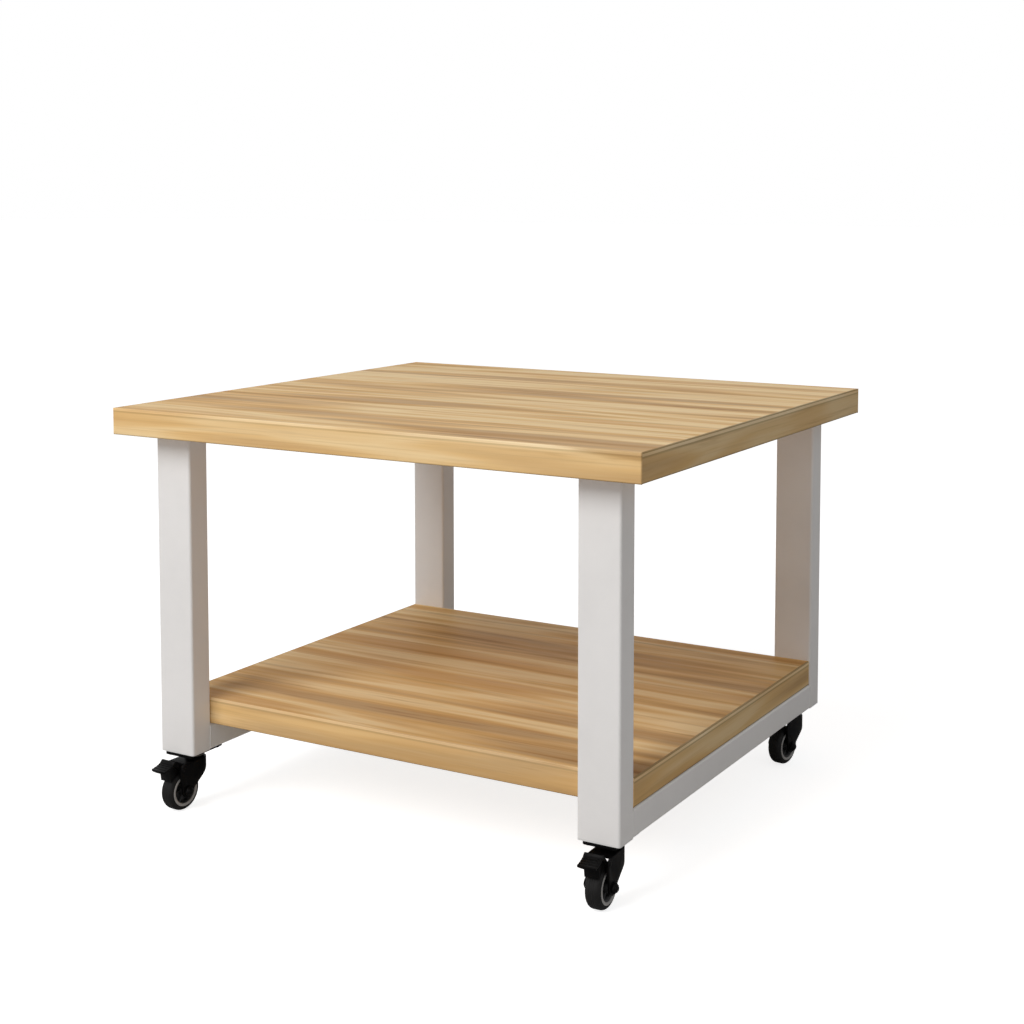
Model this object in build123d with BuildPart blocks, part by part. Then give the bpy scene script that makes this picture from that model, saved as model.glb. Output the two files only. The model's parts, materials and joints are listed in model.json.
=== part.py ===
# Mobile printer stand: a top board and a lower shelf on two welded steel side frames,
# carried by four swivel casters, the front pair with foot brakes.
# Millimetres. +Z is up, -Y is the front and +X is the right side. The origin lies on the
# floor under the middle of the top board.
from build123d import *
from math import cos, radians, sin
import os

os.makedirs("parts", exist_ok=True)

# Boards: chipboard cores with a glued edge band all round
top_width = 550.0
top_depth = 500.0
top_thickness = 25.0
shelf_thickness = 25.0
band_thickness = 1.5
band_round = 1.0
shelf_inset = 1.0  # shelf ends to the outer faces of the legs
shelf_gap = 0.3  # shelf edge to the legs in front of it and behind it

# Side frames: two legs and a floor rail in rectangular tube
leg_height = 303.0  # underside of the leg to underside of the top board
leg_width = 40.0
leg_depth = 25.0
rail_height = 25.0
tube_wall = 1.5
tube_round = 2.5
side_overhang = 30.0
front_overhang = 25.0
tab_length = 34.0
tab_thickness = 3.0

# Plug that closes the lower end of each leg
plug_lip = 1.5
plug_height = 24.0
plug_fit = 0.1

# Casters: heights above the floor
caster_height = 55.0
wheel_radius = 19.0
crown_top = 45.5
dome_top = 47.2
race_height = 3.4
plate_thickness = 3.0
swivel_gap = 0.3

# Casters: mounting plate, king pin and races
caster_inset = 11.0  # middle of a leg to the swivel axis, towards the middle of the stand
plate_width = 31.0
plate_length = 47.0
plate_round = 3.0
king_radius = 4.5
king_head_radius = 6.0
king_head_height = 1.8
rivet_fit = 0.05
race_top_radius = 13.0
race_low_radius = 10.0
race_lip = 1.0
thrust_ring_radius = 8.4
running_fit = 0.05

# Casters: fork
trail = 19.0  # swivel axis to the axle
fork_half_width = 11.0
fork_wall = 2.0
crown_reach = 23.5  # swivel axis to the front corners of the crown
crown_edge = 21.5  # swivel axis to the front edge of the crown between the cheeks
fork_reach = 28.0  # swivel axis to the front edge of the cheeks
shoulder_height = 41.0
shoulder_drop = 5.0  # upright front edge of the cheeks below the shoulder
skirt_height = 38.5
cheek_end_radius = 6.3
dome_radius = 9.8
dome_seat_radius = 8.6

# Casters: wheel and axle
tyre_width = 14.5
tyre_shoulder = 2.6
rim_radius = 14.9
rim_wall = 2.6
rim_width = 14.9
web_width = 11.0
boss_radius = 5.0
moulded_fit = 0.05
side_gap = 0.3
axle_radius = 2.5
axle_head_height = 3.2
axle_nut_height = 3.6
axle_nut_across = 8.0
axle_end = 0.8
thread_fit = 0.05

# Foot brake of the front casters: a rocking pedal with a raised heel and a flat toe
pin_radius = 1.2
pin_head_radius = 2.1
pin_head_height = 0.8
pin_reach = 25.0
pin_height = 41.0
knuckle_radius = 2.1
pedal_thickness = 1.8
pedal_side_gap = 0.5
heel_reach = 33.8
heel_height = 50.2
heel_flat = 1.6
heel_depth = 2.7
instep_reach = 38.4
instep_height = 46.6
toe_reach = 47.5
toe_height = 44.3
toe_bow = 1.2
pad_width = 13.5
pad_reach = 36.5
pad_base = 31.5
pad_clearance = 0.3
brake_travel = 6.0  # degrees from free to braked

# Rest direction of each caster, degrees turned about its swivel axis
rest_turn = {"front_left": -4.0, "front_right": 2.0, "back_left": -3.0, "back_right": -8.0}

# Places that follow from the sizes above
leg_bottom = caster_height
top_base = leg_bottom + leg_height
shelf_base = leg_bottom + rail_height
leg_outer = top_width / 2 - side_overhang
leg_x = leg_outer - leg_width / 2
leg_front = top_depth / 2 - front_overhang
leg_back = leg_front - leg_depth
leg_y = leg_front - leg_depth / 2
tube_base = leg_bottom + plug_lip
tube_top = top_base - tab_thickness
shelf_width = 2 * (leg_outer - shelf_inset)
shelf_depth = 2 * (leg_back - shelf_gap)
caster_y = leg_y - caster_inset
plate_base = caster_height - plate_thickness
race_base = plate_base - race_height
ring_base = dome_top + swivel_gap
crown_base = crown_top - fork_wall
dome_base = dome_top - fork_wall
king_head_top = dome_base - swivel_gap
cheek_inner = fork_half_width - fork_wall
pedal_half_width = cheek_inner - pedal_side_gap

corners = {
    "front_left": (-1, -1),
    "front_right": (1, -1),
    "back_left": (-1, 1),
    "back_right": (1, 1),
}
leg_places = [(side * leg_x, end * leg_y) for side, end in corners.values()]
caster_places = [(side * leg_x, end * caster_y) for side, end in corners.values()]


def save(piece, label):
    piece.label = label
    export_step(piece, f"parts/{label}.step")


def build_core(width, depth, thickness, base):
    with BuildPart() as core:
        with BuildSketch(Plane.XY.offset(base)):
            Rectangle(width - 2 * band_thickness, depth - 2 * band_thickness)
        extrude(amount=thickness)
    return core.part


def build_long_band(width, depth, thickness, base, end):
    # Front or back edge band, which covers the ends of the side bands
    with BuildPart() as band:
        with BuildSketch(Plane.XY.offset(base)):
            with Locations((0, end * (depth - band_thickness) / 2)):
                Rectangle(width, band_thickness)
        extrude(amount=thickness)
        outer = 0 if end < 0 else -1
        lengthwise = band.edges().filter_by(Axis.X).group_by(Axis.Y)[outer]
        upright = band.edges().filter_by(Axis.Z).group_by(Axis.Y)[outer]
        fillet(lengthwise + upright, band_round)
    return band.part


def build_side_band(width, depth, thickness, base, side):
    with BuildPart() as band:
        with BuildSketch(Plane.XY.offset(base)):
            with Locations((side * (width - band_thickness) / 2, 0)):
                Rectangle(band_thickness, depth - 2 * band_thickness)
        extrude(amount=thickness)
        outer = 0 if side < 0 else -1
        fillet(band.edges().filter_by(Axis.Y).group_by(Axis.X)[outer], band_round)
    return band.part


def save_board(label, width, depth, thickness, base):
    save(build_core(width, depth, thickness, base), f"{label}_board")
    save(build_long_band(width, depth, thickness, base, -1), f"{label}_band_front")
    save(build_long_band(width, depth, thickness, base, 1), f"{label}_band_back")
    save(build_side_band(width, depth, thickness, base, -1), f"{label}_band_left")
    save(build_side_band(width, depth, thickness, base, 1), f"{label}_band_right")


def build_leg(side, end):
    # Upright tube, open at both ends for the plug and the tab
    with BuildPart() as leg:
        with BuildSketch(Plane.XY.offset(tube_base)):
            with Locations((side * leg_x, end * leg_y)):
                RectangleRounded(leg_width, leg_depth, tube_round)
                Rectangle(leg_width - 2 * tube_wall, leg_depth - 2 * tube_wall, mode=Mode.SUBTRACT)
        extrude(amount=tube_top - tube_base)
    return leg.part


def build_rail(side):
    # Tube between the two legs of a side, closed by them at both ends
    with BuildPart() as rail:
        with BuildSketch(Plane.XZ.offset(-leg_back)):
            with Locations((side * leg_x, leg_bottom + rail_height / 2)):
                RectangleRounded(leg_width, rail_height, tube_round)
                Rectangle(leg_width - 2 * tube_wall, rail_height - 2 * tube_wall, mode=Mode.SUBTRACT)
        extrude(amount=2 * leg_back)
    return rail.part


def swivel_view(place):
    # Profile plane through a swivel axis: x is the radius, y is the height
    return Plane(origin=(place[0], place[1], 0), x_dir=(1, 0, 0), z_dir=(0, -1, 0))


def swivel_axis(place):
    return Axis((place[0], place[1], 0), (0, 0, 1))


def side_view(seat, across=0.0):
    # Upright plane along a caster: x runs backwards along it, y is the height
    return Plane(origin=seat.origin + seat.x_dir * across, x_dir=seat.y_dir, z_dir=seat.x_dir)


def wheel_view(seat):
    # Profile plane through the axle: x is the distance along the axle, y is the radius
    middle = seat.origin - seat.y_dir * trail + seat.z_dir * wheel_radius
    return Plane(origin=middle, x_dir=seat.x_dir, z_dir=-seat.y_dir)


def axle_view(seat, across):
    # Plane square to the axle, centred on it
    middle = seat.origin - seat.y_dir * trail + seat.z_dir * wheel_radius
    return Plane(origin=middle + seat.x_dir * across, x_dir=seat.y_dir, z_dir=seat.x_dir)


def build_fork(seat, braked):
    with BuildPart() as fork:
        # Pressed hood: straight cheeks in front, round behind
        with BuildSketch(seat):
            with BuildLine():
                Polyline(
                    (fork_half_width, 0),
                    (fork_half_width, -fork_reach),
                    (-fork_half_width, -fork_reach),
                    (-fork_half_width, 0),
                )
                ThreePointArc((-fork_half_width, 0), (0, fork_half_width), (fork_half_width, 0))
            make_face()
        extrude(amount=crown_top)
        with BuildSketch(seat):
            with BuildLine():
                Polyline(
                    (cheek_inner, 0),
                    (cheek_inner, -fork_reach),
                    (-cheek_inner, -fork_reach),
                    (-cheek_inner, 0),
                )
                ThreePointArc((-cheek_inner, 0), (0, cheek_inner), (cheek_inner, 0))
            make_face()
        extrude(amount=crown_base, mode=Mode.SUBTRACT)
        # Between the cheeks the crown ends behind the brake pin
        with BuildSketch(seat.offset(crown_base)):
            with Locations((0, -crown_edge)):
                Rectangle(2 * cheek_inner, fork_reach, align=(Align.CENTER, Align.MAX))
        extrude(amount=fork_wall, mode=Mode.SUBTRACT)
        # Cheeks taper from the hood to the axle
        with BuildSketch(side_view(seat)):
            with BuildLine():
                Polyline(
                    (fork_half_width, crown_top),
                    (-crown_reach, crown_top),
                    (-fork_reach, shoulder_height),
                    (-fork_reach, shoulder_height - shoulder_drop),
                    (-trail - cheek_end_radius, wheel_radius),
                )
                ThreePointArc(
                    (-trail - cheek_end_radius, wheel_radius),
                    (-trail, wheel_radius - cheek_end_radius),
                    (-trail + cheek_end_radius, wheel_radius),
                )
                Polyline(
                    (-trail + cheek_end_radius, wheel_radius),
                    (fork_half_width, skirt_height),
                    (fork_half_width, crown_top),
                )
            make_face()
        extrude(amount=fork_reach, both=True, mode=Mode.INTERSECT)
        # Raised seat for the bearing, hollow beneath
        with BuildSketch(side_view(seat)):
            with BuildLine():
                Polyline(
                    (0, crown_top),
                    (dome_radius, crown_top),
                    (dome_seat_radius, dome_top),
                    (0, dome_top),
                    close=True,
                )
            make_face()
        revolve(axis=Axis(seat.origin, seat.z_dir))
        with BuildSketch(seat.offset(crown_base)):
            Circle(dome_seat_radius - fork_wall)
        extrude(amount=dome_base - crown_base, mode=Mode.SUBTRACT)
        # Bores for the king pin, the axle and the brake pin
        with BuildSketch(seat.offset(dome_base)):
            Circle(king_radius + running_fit)
        extrude(amount=2 * fork_wall, mode=Mode.SUBTRACT)
        with BuildSketch(axle_view(seat, 0)):
            Circle(axle_radius + running_fit)
        extrude(amount=fork_half_width, both=True, mode=Mode.SUBTRACT)
        if braked:
            with BuildSketch(side_view(seat)):
                with Locations((-pin_reach, pin_height)):
                    Circle(pin_radius + running_fit)
            extrude(amount=fork_half_width, both=True, mode=Mode.SUBTRACT)
    return fork.part


def build_hub(seat):
    # Moulded hub: a web between two long bosses that space the wheel in the fork
    boss_end = cheek_inner - side_gap
    with BuildPart() as hub:
        with BuildSketch(axle_view(seat, 0)):
            Circle(rim_radius - rim_wall - moulded_fit)
        extrude(amount=web_width / 2, both=True)
        with BuildSketch(axle_view(seat, 0)):
            Circle(boss_radius)
        extrude(amount=boss_end, both=True)
        with BuildSketch(axle_view(seat, 0)):
            Circle(axle_radius + running_fit)
        extrude(amount=boss_end, both=True, mode=Mode.SUBTRACT)
    return hub.part


def build_rim(seat):
    with BuildPart() as rim:
        with BuildSketch(axle_view(seat, -rim_width / 2)):
            Circle(rim_radius)
            Circle(rim_radius - rim_wall, mode=Mode.SUBTRACT)
        extrude(amount=rim_width)
    return rim.part


def build_tyre(seat):
    with BuildPart() as tyre:
        with BuildSketch(wheel_view(seat)):
            with BuildLine():
                Polyline(
                    (-tyre_width / 2, rim_radius + moulded_fit),
                    (tyre_width / 2, rim_radius + moulded_fit),
                    (tyre_width / 2, wheel_radius - tyre_shoulder),
                    (tyre_width / 2 - tyre_shoulder, wheel_radius),
                    (-tyre_width / 2 + tyre_shoulder, wheel_radius),
                    (-tyre_width / 2, wheel_radius - tyre_shoulder),
                    close=True,
                )
            make_face()
        revolve(axis=Axis(wheel_view(seat).origin, seat.x_dir))
    return tyre.part


def build_axle(seat):
    # Hexagon bolt through both cheeks
    with BuildPart() as axle:
        with BuildSketch(axle_view(seat, -fork_half_width)):
            Circle(axle_radius)
        extrude(amount=2 * fork_half_width + axle_nut_height + axle_end)
        with BuildSketch(axle_view(seat, -fork_half_width - axle_head_height)):
            RegularPolygon(axle_nut_across / 2, 6, major_radius=False)
        extrude(amount=axle_head_height)
    return axle.part


def build_axle_nut(seat):
    with BuildPart() as nut:
        with BuildSketch(axle_view(seat, fork_half_width)):
            RegularPolygon(axle_nut_across / 2, 6, major_radius=False)
            Circle(axle_radius + thread_fit, mode=Mode.SUBTRACT)
        extrude(amount=axle_nut_height)
    return nut.part


def build_pedal(seat):
    swing = radians(brake_travel)
    back = pin_reach - trail
    down = wheel_radius - pin_height
    # Wheel centre as the pedal meets it at the end of its travel
    wheel_at = (
        -pin_reach + back * cos(swing) + down * sin(swing),
        pin_height - back * sin(swing) + down * cos(swing),
    )
    knuckle_front = (-pin_reach - knuckle_radius, pin_height)
    heel = (-heel_reach, heel_height)
    heel_under = (-heel_reach, heel_height - heel_depth)
    toe_under = (-toe_reach, toe_height - pedal_thickness)
    instep_under = (-instep_reach, instep_height - pedal_thickness)
    with BuildPart() as pedal:
        # Arm up from the knuckle to the heel, then a hollow curve out to the toe
        with BuildSketch(side_view(seat)):
            with Locations((-pin_reach, pin_height)):
                Circle(knuckle_radius)
            with BuildLine():
                Polyline(
                    knuckle_front,
                    (-pin_reach + knuckle_radius, pin_height),
                    (-heel_reach + heel_flat, heel_height),
                    heel,
                )
                ThreePointArc(heel, (-instep_reach, instep_height), (-toe_reach, toe_height))
                Line((-toe_reach, toe_height), toe_under)
                ThreePointArc(toe_under, instep_under, heel_under)
                Line(heel_under, knuckle_front)
            make_face()
        extrude(amount=pedal_half_width, both=True)
        # Bowed front edge, seen from above
        corner_reach = toe_reach - toe_bow
        with BuildSketch(seat):
            with BuildLine():
                Polyline(
                    (-pedal_half_width, -corner_reach),
                    (-pedal_half_width, 0),
                    (pedal_half_width, 0),
                    (pedal_half_width, -corner_reach),
                )
                ThreePointArc(
                    (pedal_half_width, -corner_reach),
                    (0, -toe_reach),
                    (-pedal_half_width, -corner_reach),
                )
            make_face()
        extrude(amount=caster_height, mode=Mode.INTERSECT)
        # Brake pad, hollowed to the tyre
        with BuildSketch(side_view(seat)):
            with BuildLine():
                Polyline(
                    (-pin_reach - knuckle_radius, pad_base),
                    knuckle_front,
                    heel_under,
                    instep_under,
                    (-pad_reach, pad_base),
                    close=True,
                )
            make_face()
            with Locations(wheel_at):
                Circle(wheel_radius + pad_clearance, mode=Mode.SUBTRACT)
        extrude(amount=pad_width / 2, both=True)
        with BuildSketch(side_view(seat)):
            with Locations((-pin_reach, pin_height)):
                Circle(pin_radius + running_fit)
        extrude(amount=fork_half_width, both=True, mode=Mode.SUBTRACT)
    return pedal.part


def build_pin(seat):
    with BuildPart() as pin:
        with BuildSketch(side_view(seat)):
            with Locations((-pin_reach, pin_height)):
                Circle(pin_radius)
        extrude(amount=fork_half_width, both=True)
        for across, height in ((fork_half_width, pin_head_height), (-fork_half_width, -pin_head_height)):
            with BuildSketch(side_view(seat, across)):
                with Locations((-pin_reach, pin_height)):
                    Circle(pin_head_radius)
            extrude(amount=height)
    return pin.part


# Top board and lower shelf
save_board("top", top_width, top_depth, top_thickness, top_base)
save_board("shelf", shelf_width, shelf_depth, shelf_thickness, shelf_base)

# Side frames
for corner, (side, end) in corners.items():
    save(build_leg(side, end), f"leg_{corner}")
save(build_rail(-1), "rail_left")
save(build_rail(1), "rail_right")

# Welded tabs that close the legs and reach inwards under the top board
with BuildPart() as leg_tabs:
    for side, end in corners.values():
        with BuildSketch(Plane.XY.offset(tube_top)):
            with Locations((side * (leg_outer - (leg_width + tab_length) / 2), end * leg_y)):
                RectangleRounded(leg_width + tab_length, leg_depth, tube_round)
        extrude(amount=tab_thickness)
save(leg_tabs.part, "leg_tabs")

# Plugs: a lip under the tube and a block inside it
with BuildPart() as leg_plugs:
    with BuildSketch(Plane.XY.offset(leg_bottom)):
        with Locations(*leg_places):
            RectangleRounded(leg_width, leg_depth, tube_round)
    extrude(amount=plug_lip)
    with BuildSketch(Plane.XY.offset(tube_base)):
        with Locations(*leg_places):
            Rectangle(leg_width - 2 * tube_wall - 2 * plug_fit, leg_depth - 2 * tube_wall - 2 * plug_fit)
    extrude(amount=plug_height)
save(leg_plugs.part, "leg_plugs")

# Fixed half of the casters: king pin riveted in its plate, race and thrust ring
with BuildPart() as caster_stems:
    for place in caster_places:
        with BuildSketch(swivel_view(place)):
            with BuildLine():
                Polyline(
                    (0, king_head_top - king_head_height),
                    (king_head_radius, king_head_top - king_head_height),
                    (king_head_radius, king_head_top),
                    (king_radius, king_head_top),
                    (king_radius, caster_height),
                    (0, caster_height),
                    close=True,
                )
            make_face()
        revolve(axis=swivel_axis(place))
save(caster_stems.part, "caster_stems")

# Each plate lies under a leg and the end of its rail
with BuildPart() as caster_flanges:
    with BuildSketch(Plane.XY.offset(plate_base)):
        with Locations(*caster_places):
            RectangleRounded(plate_width, plate_length, plate_round)
            Circle(king_radius + rivet_fit, mode=Mode.SUBTRACT)
    extrude(amount=plate_thickness)
save(caster_flanges.part, "caster_flanges")

with BuildPart() as upper_races:
    for place in caster_places:
        with BuildSketch(swivel_view(place)):
            with BuildLine():
                Polyline(
                    (king_radius + rivet_fit, race_base),
                    (race_low_radius, race_base),
                    (race_top_radius, plate_base - race_lip),
                    (race_top_radius, plate_base),
                    (king_radius + rivet_fit, plate_base),
                    close=True,
                )
            make_face()
        revolve(axis=swivel_axis(place))
save(upper_races.part, "upper_races")

with BuildPart() as thrust_rings:
    with BuildSketch(Plane.XY.offset(ring_base)):
        with Locations(*caster_places):
            Circle(thrust_ring_radius)
            Circle(king_radius + rivet_fit, mode=Mode.SUBTRACT)
    extrude(amount=race_base - ring_base)
save(thrust_rings.part, "thrust_rings")

# Swivelling half of the casters
for corner, (side, end) in corners.items():
    turn = radians(rest_turn[corner])
    seat = Plane(
        origin=(side * leg_x, end * caster_y, 0),
        x_dir=(cos(turn), sin(turn), 0),
        z_dir=(0, 0, 1),
    )
    braked = end < 0
    save(build_fork(seat, braked), f"fork_{corner}")
    save(build_axle(seat), f"axle_{corner}")
    save(build_axle_nut(seat), f"axle_nut_{corner}")
    save(build_hub(seat), f"hub_{corner}")
    save(build_rim(seat), f"rim_{corner}")
    save(build_tyre(seat), f"tyre_{corner}")
    if braked:
        save(build_pedal(seat), f"pedal_{corner}")
        save(build_pin(seat), f"pedal_pin_{corner}")
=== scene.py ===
import bpy
import json
import math
from mathutils import Matrix, Vector


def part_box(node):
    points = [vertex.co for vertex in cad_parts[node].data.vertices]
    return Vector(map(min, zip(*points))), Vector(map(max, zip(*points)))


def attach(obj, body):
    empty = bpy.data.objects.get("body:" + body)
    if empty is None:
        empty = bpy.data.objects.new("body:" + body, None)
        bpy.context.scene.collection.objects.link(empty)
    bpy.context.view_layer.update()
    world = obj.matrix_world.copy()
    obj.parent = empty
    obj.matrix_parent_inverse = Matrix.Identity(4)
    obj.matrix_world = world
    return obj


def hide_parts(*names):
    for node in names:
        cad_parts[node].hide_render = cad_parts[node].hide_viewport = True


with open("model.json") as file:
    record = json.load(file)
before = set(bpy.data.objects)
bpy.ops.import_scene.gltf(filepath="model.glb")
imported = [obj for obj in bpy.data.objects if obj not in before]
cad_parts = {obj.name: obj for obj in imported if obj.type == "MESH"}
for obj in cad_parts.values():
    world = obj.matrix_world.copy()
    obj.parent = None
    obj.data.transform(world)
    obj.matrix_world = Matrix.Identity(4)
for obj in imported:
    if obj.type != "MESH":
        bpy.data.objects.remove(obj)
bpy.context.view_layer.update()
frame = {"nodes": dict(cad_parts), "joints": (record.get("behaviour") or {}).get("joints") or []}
nodes = frame["nodes"]
joints = {joint["name"]: joint for joint in frame["joints"]}
mm = 0.001
corners = ["front_left", "front_right", "back_left", "back_right"]
frontCorners, backCorners = corners[:2], corners[2:]
print("frame loaded:", len(nodes), "nodes")


# Shaping helpers, lengths in mm and angles in degrees
shaping = {
    "mergeDistance": 0.002,
    "margin": 1.0,  # how far a cutter passes the faces that it leaves alone
    "overcut": 5.0,  # the same for the deep cuts in the forks
    "acrossCaster": 20.0,  # half the length of a cutter through a whole caster
    "boreClearance": 0.05,
    "hexCrown": 0.1,  # how far a hexagon's turned corners end inside its flats
    "sides": 48,
}


def clearSelection():
    if bpy.context.mode != "OBJECT":
        bpy.ops.object.mode_set(mode="OBJECT")
    bpy.ops.object.select_all(action="DESELECT")


def makeActive(piece):
    clearSelection()
    piece.select_set(True)
    bpy.context.view_layer.objects.active = piece


def applyModifier(piece, kind, **settings):
    makeActive(piece)
    modifier = piece.modifiers.new(kind.lower(), kind)
    for key, value in settings.items():
        setattr(modifier, key, value)
    bpy.ops.object.modifier_apply(modifier=modifier.name)


def finishEdges(piece, values):
    # Small rounded edges as (width, segments, angle) where a piece has them, then smooth shading
    if "bevel" in values:
        width, segments, angle = values["bevel"]
        applyModifier(piece, "BEVEL", width=width * mm, segments=segments, limit_method="ANGLE",
                      angle_limit=math.radians(angle), harden_normals=False)
    makeActive(piece)
    bpy.ops.object.shade_smooth_by_angle(angle=math.radians(values["smooth"]))


def fixNormals(piece):
    makeActive(piece)
    bpy.ops.object.mode_set(mode="EDIT")
    bpy.ops.mesh.select_all(action="SELECT")
    bpy.ops.mesh.remove_doubles(threshold=shaping["mergeDistance"] * mm)
    bpy.ops.mesh.normals_make_consistent(inside=False)
    bpy.ops.object.mode_set(mode="OBJECT")


def extrudeUp(height):
    bpy.ops.mesh.extrude_region_move(TRANSFORM_OT_translate={"value": (0, 0, height * mm)})


def turnedPiece(name, profile, sides, capped=False):
    # Rings of (radius, height) in mm about Z, each extruded from the last
    clearSelection()
    radius, height = profile[0]
    bpy.ops.mesh.primitive_circle_add(vertices=sides, radius=radius * mm, location=(0, 0, height * mm))
    piece = bpy.context.object
    piece.name = name
    bpy.ops.object.transform_apply(location=True, rotation=True, scale=True)
    bpy.ops.object.mode_set(mode="EDIT")
    bpy.ops.mesh.select_mode(type="EDGE")
    bpy.ops.mesh.select_all(action="SELECT")
    if capped:
        bpy.ops.mesh.edge_face_add()
    rings = profile[1:] if capped else profile[1:] + profile[:1]
    for nextRadius, nextHeight in rings:
        extrudeUp(nextHeight - height)
        grow = nextRadius / radius
        bpy.ops.transform.resize(value=(grow, grow, 1), center_override=(0, 0, nextHeight * mm))
        radius, height = nextRadius, nextHeight
    bpy.ops.object.mode_set(mode="OBJECT")
    fixNormals(piece)
    return piece


def arcPoints(centre, radius, start, end, steps):
    # Points of a round corner in a profile
    points = []
    for step in range(steps + 1):
        turn = math.radians(start + (end - start) * step / steps)
        points.append((centre[0] + radius * math.cos(turn), centre[1] + radius * math.sin(turn)))
    return points


def platePiece(name, outline, thickness, plane="XY"):
    # Flat outline in mm, filled and extruded from its plane
    clearSelection()
    bpy.ops.mesh.primitive_circle_add(vertices=len(outline), radius=1.0, fill_type="NOTHING")
    piece = bpy.context.object
    piece.name = name
    for vertex, (across, along) in zip(piece.data.vertices, outline):
        vertex.co = Vector((across, along, 0)) * mm
    bpy.ops.object.mode_set(mode="EDIT")
    bpy.ops.mesh.select_all(action="SELECT")
    bpy.ops.mesh.edge_face_add()
    extrudeUp(thickness)
    bpy.ops.object.mode_set(mode="OBJECT")
    if plane == "YZ":
        # Outline x becomes Y, outline y becomes Z, thickness runs along X
        piece.data.transform(Matrix(((0, 0, 1, 0), (1, 0, 0, 0), (0, 1, 0, 0), (0, 0, 0, 1))))
    fixNormals(piece)
    return piece


def moveMesh(piece, x=0.0, y=0.0, z=0.0):
    piece.data.transform(Matrix.Translation(Vector((x, y, z)) * mm))


def layAcross(piece, y, z):
    # From an axis along Z at the origin to one along X at this place
    piece.data.transform(Matrix.Rotation(math.radians(90), 4, "Y"))
    moveMesh(piece, y=y, z=z)


def onWheel(piece):
    layAcross(piece, -caster["trail"], caster["wheelRadius"])


def onPin(piece):
    layAcross(piece, -caster["pinReach"], caster["pinHeight"])


def booleanWith(piece, tool, operation):
    applyModifier(piece, "BOOLEAN", object=tool, operation=operation, solver="EXACT")
    bpy.data.objects.remove(tool)


def joinPieces(pieces, name):
    clearSelection()
    for piece in pieces:
        piece.select_set(True)
    bpy.context.view_layer.objects.active = pieces[0]
    bpy.ops.object.join()
    joined = bpy.context.object
    joined.name = name
    joined.data.name = name
    return joined


def copyPiece(piece, name):
    twin = piece.copy()
    twin.data = piece.data.copy()
    twin.name = name
    twin.data.name = name
    bpy.context.scene.collection.objects.link(twin)
    return twin


def hollowCurve(start, middle, end, steps):
    # Even bend from start to end that passes the middle point
    pull = [2 * middle[axis] - (start[axis] + end[axis]) / 2 for axis in (0, 1)]
    points = []
    for step in range(steps + 1):
        t = step / steps
        points.append(tuple((1 - t) ** 2 * start[axis] + 2 * t * (1 - t) * pull[axis] + t * t * end[axis]
                            for axis in (0, 1)))
    return points


def roundedOutline(width, length, corner, steps):
    points = []
    for across, along, start in ((1, 1, 0), (-1, 1, 90), (-1, -1, 180), (1, -1, 270)):
        centre = (across * (width / 2 - corner), along * (length / 2 - corner))
        points += arcPoints(centre, corner, start, start + 90, steps)
    return points


def rod(name, radius, low, high, sides=shaping["sides"]):
    return turnedPiece(name, [(radius, low), (radius, high)], sides, capped=True)


def crossRod(name, radius, sides=shaping["sides"]):
    # Cutter that reaches right through a caster
    return rod(name, radius, -shaping["acrossCaster"], shaping["acrossCaster"], sides)


def hexBlock(name, across, low, high, chamfer):
    # Hexagon with turned corners at its upper end
    corner = across / math.sqrt(3)
    wide, crown = corner + shaping["margin"], across / 2 - shaping["hexCrown"]
    block = turnedPiece(name, [(corner, low), (corner, high)], 6, capped=True)
    profile = [(wide, low - shaping["margin"]), (wide, high - chamfer), (crown, high)]
    booleanWith(block, turnedPiece("cone", profile, shaping["sides"], capped=True), "INTERSECT")
    return block


def dress(piece, material):
    piece.data.materials.clear()
    piece.data.materials.append(material)


def seatCopies(piece, name, body, node, material, wanted):
    # One copy on each wanted caster, each with its own mesh
    dress(piece, material)
    for corner in wanted:
        twin = copyPiece(piece, f"{name}_{corner}")
        twin.data.transform(casterPlaces[corner])
        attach(twin, f"{body}_{corner}")
        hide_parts(f"{node}_{corner}")
    bpy.data.objects.remove(piece)


def joinedCopies(piece, name, places, material, node=None):
    # Copies at all the places, joined to one piece on the stand
    dress(piece, material)
    twins = []
    for place in places:
        twin = copyPiece(piece, name)
        twin.data.transform(place)
        twins.append(twin)
    bpy.data.objects.remove(piece)
    joined = joinPieces(twins, name)
    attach(joined, "stand")
    if node:
        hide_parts(node)


# Shader helpers and the finishes that they build
def newMaterial(name):
    material = bpy.data.materials.new(name)
    material.use_nodes = True
    tree = material.node_tree
    shader = tree.nodes["Principled BSDF"]
    return material, tree, shader


def feed(tree, value, socket):
    # A link, a colour or a plain number
    if isinstance(value, bpy.types.NodeSocket):
        tree.links.new(value, socket)
    else:
        socket.default_value = (*value, 1.0) if isinstance(value, tuple) else value


def mathNode(tree, operation, first, second):
    node = tree.nodes.new("ShaderNodeMath")
    node.operation = operation
    feed(tree, first, node.inputs[0])
    feed(tree, second, node.inputs[1])
    return node.outputs[0]


def objectCoords(tree, scale=(1, 1, 1)):
    coords = tree.nodes.new("ShaderNodeTexCoord")
    mapping = tree.nodes.new("ShaderNodeMapping")
    mapping.inputs["Scale"].default_value = scale
    tree.links.new(coords.outputs["Object"], mapping.inputs["Vector"])
    return mapping.outputs["Vector"]


def noise(tree, vector, scale, detail, roughness, distortion=0.0):
    node = tree.nodes.new("ShaderNodeTexNoise")
    node.inputs["Scale"].default_value = scale
    node.inputs["Detail"].default_value = detail
    node.inputs["Roughness"].default_value = roughness
    node.inputs["Distortion"].default_value = distortion
    tree.links.new(vector, node.inputs["Vector"])
    return node.outputs["Fac"]


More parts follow.
